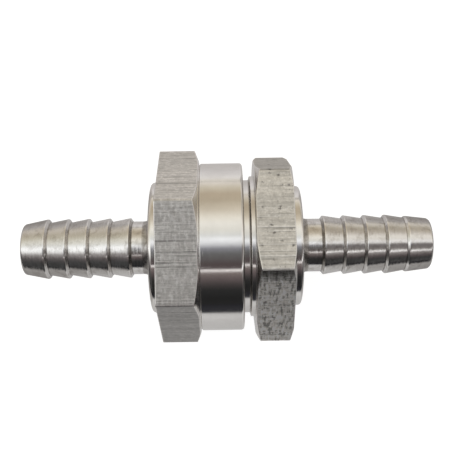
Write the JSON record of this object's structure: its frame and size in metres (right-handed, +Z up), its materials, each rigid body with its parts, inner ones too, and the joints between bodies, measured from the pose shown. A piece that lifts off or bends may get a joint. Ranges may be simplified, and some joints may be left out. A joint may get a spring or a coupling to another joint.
{
  "type": "inline non-return valve",
  "caption": "In-line gas check valve with a barbed hose tail at each end, two hexagon halves screwed together around a spring-loaded poppet.",
  "frame": {"origin": "on the flow axis, half-way between the two hose tips", "axes": "+X along the flow from the inlet tip to the outlet tip, +Z up, with the valve lying at rest on one corner of each hexagon"},
  "size_m": [0.058, 0.0272, 0.026],
  "materials": {
    "inlet_aluminium": "bright turned, with drawn hexagon flats left as the bar came",
    "outlet_aluminium": "bright turned, with drawn hexagon flats left as the bar came",
    "seal_rubber": "moulded nitrile rubber, satin",
    "poppet_brass": "turned brass",
    "ring_steel": "stamped spring steel",
    "spring_steel": "drawn stainless wire"
  },
  "bodies": {
    "inlet_half": {"inlet_body": "inlet_aluminium"},
    "poppet_set": {"poppet": "poppet_brass", "poppet_o_ring": "seal_rubber"},
    "body_seal": {"body_o_ring": "seal_rubber"},
    "outlet_half": {"outlet_body": "outlet_aluminium", "poppet_guide": "poppet_brass", "guide_retaining_ring": "ring_steel", "return_spring": "spring_steel"}
  },
  "joints": [
    {"name": "poppet_lift", "type": "slide", "parent": "inlet_half", "child": "poppet_set", "axis": [1, 0, 0], "range_m": [0, 0.002], "stiffness_N_per_m": 150, "springref_m": -0.0029, "deforming": ["return_spring"]},
    {"name": "outlet_travel", "type": "slide", "parent": "inlet_half", "child": "body_seal", "axis": [1, 0, 0], "range_m": [0, 0.006]},
    {"name": "outlet_unscrew", "type": "hinge", "parent": "body_seal", "child": "outlet_half", "pos_m": [0, 0, 0], "axis": [1, 0, 0], "range_deg": [0, 2160]}
  ],
  "couplings": [
    {"joint": "outlet_travel", "follows": "outlet_unscrew", "m_per_rad": 0.00015915}
  ]
}
